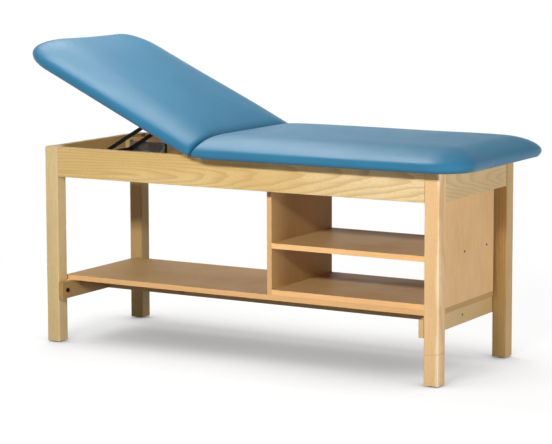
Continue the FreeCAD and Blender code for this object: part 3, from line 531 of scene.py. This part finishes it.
def evaluated(obj):
    graph = bpy.context.evaluated_depsgraph_get()
    return bpy.data.meshes.new_from_object(obj.evaluated_get(graph))


def readPoints(mesh):
    flat = np.empty(len(mesh.vertices) * 3)
    mesh.vertices.foreach_get("co", flat)
    return flat.reshape(-1, 3)


def fillPad(name, length):
    # voxel skin, then air pressure against the pinned underside and hinge end
    obj = meshObject(name, padMesh(name, length), vinyl)
    remesh = obj.modifiers.new("voxel", "REMESH")
    remesh.mode = "VOXEL"
    remesh.voxel_size = pad["voxel"]
    even = obj.modifiers.new("even", "SMOOTH")
    even.factor, even.iterations = 0.5, pad["smooth"][0]
    mesh = evaluated(obj)
    obj.modifiers.clear()
    obj.data = mesh
    rest = readPoints(mesh)
    out = np.array([v.normal for v in mesh.vertices])
    edges = np.array([e.vertices for e in mesh.edges])
    heldHeight, heldEnd = pad["held"]
    held = (rest[:, 2] < heldHeight) | (rest[:, 0] < padEnd(rest[:, 2]) + heldEnd)
    lift = np.where(held, 0.0, pad["slack"][1])
    pins = obj.vertex_groups.new(name="board")
    pins.add([int(i) for i in np.flatnonzero(held)], 1.0, "REPLACE")
    cloth = obj.modifiers.new("fill", "CLOTH")
    use, stuff = cloth.settings, pad["cloth"]
    use.quality = stuff["quality"]
    use.mass = stuff["mass"]
    use.tension_stiffness = use.compression_stiffness = stuff["tension"]
    use.shear_stiffness = stuff["shear"]
    use.bending_stiffness = stuff["bend"]
    use.vertex_group_mass = "board"
    use.use_pressure = True
    use.uniform_pressure_force = stuff["pressure"]
    use.effector_weights.gravity = 0
    cloth.point_cache.frame_start, cloth.point_cache.frame_end = 1, stuff["frames"]
    for step in range(1, stuff["frames"] + 1):
        scene.frame_set(step)
    moved = readPoints(evaluated(obj))
    obj.modifiers.clear()
    scene.frame_set(1)
    lift = np.clip(((moved - rest) * out).sum(axis=1), 0.0, pad["cap"])
    print(name, "filled:", len(lift), "points, mean rise", round(float(lift.mean()), 5))
    # the rise is evened out over its neighbours, so that the skin lies smooth
    near = np.bincount(edges.ravel(), minlength=len(rest))
    for step in range(pad["evenPasses"]):
        total = np.bincount(edges[:, 0], lift[edges[:, 1]], len(rest))
        total += np.bincount(edges[:, 1], lift[edges[:, 0]], len(rest))
        lift = np.where(held, 0.0, lift * 0.5 + total / near * 0.5)
    mesh.vertices.foreach_set("co", (rest + out * lift[:, None]).ravel())
    finer = obj.modifiers.new("finer", "SUBSURF")
    finer.levels = finer.render_levels = 1
    even = obj.modifiers.new("even", "SMOOTH")
    even.factor, even.iterations = 0.5, pad["smooth"][1]
    mesh = evaluated(obj)
    obj.modifiers.clear()
    obj.vertex_groups.clear()
    obj.data = mesh
    for face in mesh.polygons:
        face.use_smooth = True
    # the rim lies under the board's edge, and inside it the skin goes up into the board
    size = readPoints(mesh)
    drop, first, last = pad["rim"]
    side, end, corner = pad["width"] / 2 - np.abs(size[:, 1]), length - size[:, 0], pad["corner"]
    inset = np.where((side < corner) & (end < corner), corner - np.hypot(corner - side, corner - end),
                     np.minimum(side, end)) - pad["draw"]
    t = np.where(size[:, 0] < pad["hingeZone"], 1.0, np.clip((inset - first) / (last - first), 0.0, 1.0))
    under = (size[:, 2] < pad["underside"][0]) & (inset > pad["underside"][1])
    size[:, 2] = np.where(under, np.minimum(size[:, 2], -drop) + pad["rimRise"] * t * t * (3 - 2 * t), size[:, 2])
    mesh.vertices.foreach_set("co", size.ravel())
    print(name, "box", size.min(axis=0).round(4), size.max(axis=0).round(4))
    return obj


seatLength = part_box("seat_cover")[1].x - hinge.x
backRun = Vector((-cos(restTurn), 0, sin(restTurn)))
backLength = max((v.co - hinge).dot(backRun) for v in nodes["backrest_cover"].data.vertices)
seatPlace = Matrix.Translation((hinge.x, 0, boardZ))
backPlace = (
    Matrix.Translation(hinge) @ Matrix.Rotation(restTurn, 4, "Y") @ Matrix.Translation((0, 0, axisDrop))
    @ Matrix.Rotation(pi, 4, "Z")
)
seatPad = fillPad("seatPad", seatLength)
seatPad.data.transform(seatPlace)
backPad = fillPad("backPad", backLength)
backPad.data.transform(backPlace)
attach(seatPad, "table_frame")
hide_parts("seat_cover", "seat_foam")
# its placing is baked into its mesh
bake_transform(backPad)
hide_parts("backrest_cover", "backrest_foam")
print("pads filled")

# hems turned under the boards, with their staples
hem = {
    "inset": 0.005,  # of its outer edge, from the pad's lower edge
    "start": 0.045,  # from the hinge line
    "gap": 0.006,  # between points along it
    "width": 0.026,
    "drop": 0.0019,
    "pleats": 9,  # round a corner
    "pleatDepth": 0.0012,
    "ragged": 0.0016,
    "spacing": 0.042,  # of the staples, which lie along the line
    "line": 0.014,
    "wire": 0.0008,
    "crown": 0.011,
}


def hemPath(length):
    # evenly spaced points along its outer edge, round the far end from one side to the other
    inset = pad["draw"] + hem["inset"]
    ring = [Vector(p[:2]) for p in padRing(length, 0.0, inset, inset, padEnd(0.0))]
    keep = [p for p in ring if p.x > hem["start"]]
    first = min(range(len(keep)), key=lambda i: (keep[i].y > 0, keep[i].x))
    keep = keep[first:] + keep[:first]
    points = []
    for a, b in zip(keep, keep[1:]):
        count = max(1, round((b - a).length / hem["gap"]))
        points += [a + (b - a) * (i / count) for i in range(count)]
    points.append(keep[-1])
    return points


def makeHem(name, length, place, body):
    points = hemPath(length)
    width, drop = hem["width"], hem["drop"]
    profile = [(0.0, 0.003), (0.0, -0.0006), (0.003, -drop * 0.9), (0.007, -drop), (0.014, -drop), (0.021, -drop),
               (width, -drop * 0.9), (width, -0.0001), (0.014, -0.0001), (0.003, 0.002)]
    corner = pad["corner"]
    bm = bmesh.new()
    loops = []
    for i, p in enumerate(points):
        back, ahead = points[max(0, i - 1)], points[min(len(points) - 1, i + 1)]
        run = (ahead - back).normalized()
        inward = Vector((-run.y, run.x))
        inCorner = p.x > length - corner and abs(p.y) > pad["width"] / 2 - corner
        turn = i * hem["gap"] / (corner * pi / 2) * hem["pleats"] * 2 * pi
        loop = []
        for inset, h in profile:
            depth = min(1.0, inset / 0.012)
            lift = -hem["pleatDepth"] * depth * (0.5 + 0.5 * sin(turn)) if inCorner and h < 0 else 0.0
            ragged = hem["ragged"] * noise.noise((p.x * 45, p.y * 45, 3.0)) if inset > 0.024 else 0.0
            q = p + inward * (inset + ragged)
            loop.append(bm.verts.new((q.x, q.y, h + lift)))
        loops.append(loop)
    joinLoops(bm, loops)
    bm.faces.new(loops[0])
    bm.faces.new(list(reversed(loops[-1])))
    bmesh.ops.recalc_face_normals(bm, faces=bm.faces)
    obj = meshObject(name, bm, vinyl)
    obj.data.transform(place)
    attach(obj, body)


def makeStaples(name, length, place, body):
    points = hemPath(length)
    bm = bmesh.new()
    step = round(hem["spacing"] / hem["gap"])
    for i in range(3, len(points) - 3, step):
        run = (points[i + 1] - points[i - 1]).normalized()
        inward = Vector((-run.y, run.x))
        seat = points[i] + inward * hem["line"]
        slant = Matrix.Rotation(0.5 * noise.noise((i * 0.7, 1.3, 2.1)) + 0.5, 4, "Z")
        along = slant @ Vector((run.x, run.y, 0))
        turn = Matrix.Rotation(along.to_2d().angle_signed(Vector((1, 0))), 4, "Z")
        at = Matrix.Translation((seat.x, seat.y, -hem["drop"] - hem["wire"] * 0.35)) @ turn
        size = Matrix.Diagonal((hem["crown"], hem["wire"] * 1.5, hem["wire"], 1))
        bmesh.ops.create_cube(bm, size=1.0, matrix=at @ size)
    obj = meshObject(name, bm, zincPlate)
    for face in obj.data.polygons:
        face.use_smooth = False
    obj.data.transform(place)
    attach(obj, body)


makeHem("seatHem", seatLength, seatPlace, "table_frame")
makeHem("backHem", backLength, backPlace, "backrest")
makeStaples("seatStaples", seatLength, seatPlace, "table_frame")
makeStaples("backStaples", backLength, backPlace, "backrest")
print("hems and staples made")


# floor, light and camera
floorLook = {
    "size": 14.0, "color": (0.27, 0.27, 0.27, 1), "mottle": (0.29, 0.29, 0.29, 1), "glow": 0.80,
    "near": 1.3, "far": 2.4,  # where it fades into the white backdrop
    "reach": 0.7,  # of the shade under the table
}


def makeFloor():
    bm = bmesh.new()
    bmesh.ops.create_grid(bm, x_segments=1, y_segments=1, size=floorLook["size"])
    material = bpy.data.materials.new("pale floor")
    material.use_nodes = True
    tree = material.node_tree
    tree.nodes.clear()
    place = addNode(tree, "TexCoord").outputs["Object"]
    mottle = speckle(tree, place, 2.0, 3.0)
    tint = mixColor(tree, mottle, floorLook["color"], floorLook["mottle"])
    path = addNode(tree, "LightPath").outputs
    seen = calc(tree, "MAXIMUM", path["Is Camera Ray"], path["Is Glossy Ray"])
    seen = calc(tree, "MAXIMUM", seen, path["Is Transmission Ray"])
    matte = addNode(tree, "BsdfDiffuse", {"Color": tint}).outputs[0]
    # the table also shades the glow of the floor below it
    clear = addNode(tree, "AmbientOcclusion", {"Distance": floorLook["reach"]}, samples=16).outputs["AO"]
    glow = calc(tree, "MULTIPLY", remap(tree, clear, 0.2, 0.88, 0.30, 1.0), floorLook["glow"])
    lift = addNode(tree, "Emission", {"Strength": calc(tree, "MULTIPLY", seen, glow)}).outputs[0]
    lit = addNode(tree, "AddShader", {0: matte, 1: lift}).outputs[0]
    white = addNode(tree, "Emission", {"Strength": 1.0}).outputs[0]
    away = addNode(tree, "VectorMath", {0: place}, operation="LENGTH").outputs["Value"]
    share = remap(tree, away, floorLook["near"], floorLook["far"])
    mixed = addNode(tree, "MixShader", {0: calc(tree, "MULTIPLY", seen, share), 1: lit, 2: white})
    output = addNode(tree, "OutputMaterial")
    tree.links.new(mixed.outputs[0], output.inputs[0])
    floor = meshObject("floor", bm, material)
    floor.location.z = -0.0005


def makeLamp(name, place, aim, size, power, shines):
    data = bpy.data.lights.new(name, "AREA")
    data.shape = "RECTANGLE"
    data.size, data.size_y = size
    data.energy = power
    lamp = bpy.data.objects.new(name, data)
    scene.collection.objects.link(lamp)
    lamp.visible_glossy = shines
    lamp.location = place
    lamp.rotation_euler = (Vector(aim) - Vector(place)).to_track_quat("-Z", "Y").to_euler()


makeFloor()
# place, aim, size, power, whether it shows in gloss
lamps = {
    "key": ((0.6, -4.3, 2.45), (0.0, 0.0, 0.55), (1.8, 0.4), 192, False),
    "top": ((-0.6, 0.25, 2.9), (-0.4, -0.1, 0.8), (1.2, 0.6), 35, True),
    "back": ((-2.3, 2.1, 3.7), (0.1, -0.2, 0.75), (1.8, 1.0), 42, True),
    "right": ((4.4, -0.7, 0.55), (0.0, 0.0, 0.45), (1.2, 0.6), 76, False),
    "behind": ((0.2, 4.4, 0.5), (0.0, 0.0, 0.42), (3.0, 0.5), 52, False),
    "left": ((-4.3, 0.2, 0.5), (0.0, 0.0, 0.42), (1.6, 0.5), 34, False),
}
for name, setup in lamps.items():
    makeLamp(name, *setup)

studio = {
    "color": (0.97, 0.985, 1.0, 1),
    "strength": 0.05,
    "backdrop": (0.10, 0.45, 1.0, 0.4),  # in reflections: rise from and to, brightness there
}
world = bpy.data.worlds.new("studio")
scene.world = world
world.use_nodes = True
tree = world.node_tree
tree.nodes.clear()
ambient = addNode(tree, "Background", {"Color": studio["color"], "Strength": studio["strength"]}).outputs[0]
path = addNode(tree, "LightPath").outputs
# the backdrop is white to the eye, and reflections of it dim above its upper edge
rise = addNode(tree, "SeparateXYZ", {0: addNode(tree, "TexCoord").outputs["Generated"]}).outputs["Z"]
level = calc(tree, "MAXIMUM", remap(tree, rise, *studio["backdrop"]), path["Is Camera Ray"])
white = addNode(tree, "Background", {"Color": (1, 1, 1, 1), "Strength": level}).outputs[0]
seen = calc(tree, "MAXIMUM", path["Is Camera Ray"], path["Is Glossy Ray"])
seen = calc(tree, "MAXIMUM", seen, path["Is Transmission Ray"])
mixed = addNode(tree, "MixShader", {0: seen, 1: ambient, 2: white})
tree.links.new(mixed.outputs[0], addNode(tree, "OutputWorld").inputs[0])

cameraSet = {
    "place": (3.773, -6.491, 1.545), "yaw": 30.35, "pitch": 6.68, "roll": -0.15, "shift": -0.10,
    "focal": 2108.0, "pictureWidth": 552,  # in pixels
    "sensor": 36.0,
}
yaw, pitch, roll = (radians(cameraSet[key]) for key in ("yaw", "pitch", "roll"))
ahead = Vector((-sin(yaw) * cos(pitch), cos(yaw) * cos(pitch), -sin(pitch)))
right = Vector((cos(yaw), sin(yaw), 0))
up = right.cross(ahead)
right, up = right * cos(roll) + up * sin(roll), up * cos(roll) - right * sin(roll)
data = bpy.data.cameras.new("photoCamera")
data.sensor_width = cameraSet["sensor"]
data.lens = cameraSet["focal"] / cameraSet["pictureWidth"] * cameraSet["sensor"]
data.shift_y = cameraSet["shift"]
data.clip_end = 100
camera = bpy.data.objects.new("photoCamera", data)
scene.collection.objects.link(camera)
camera.matrix_world = Matrix.Translation(cameraSet["place"]) @ Matrix((right, up, -ahead)).transposed().to_4x4()
scene.camera = camera
scene.view_settings.view_transform = "Standard"
print("light and camera set")
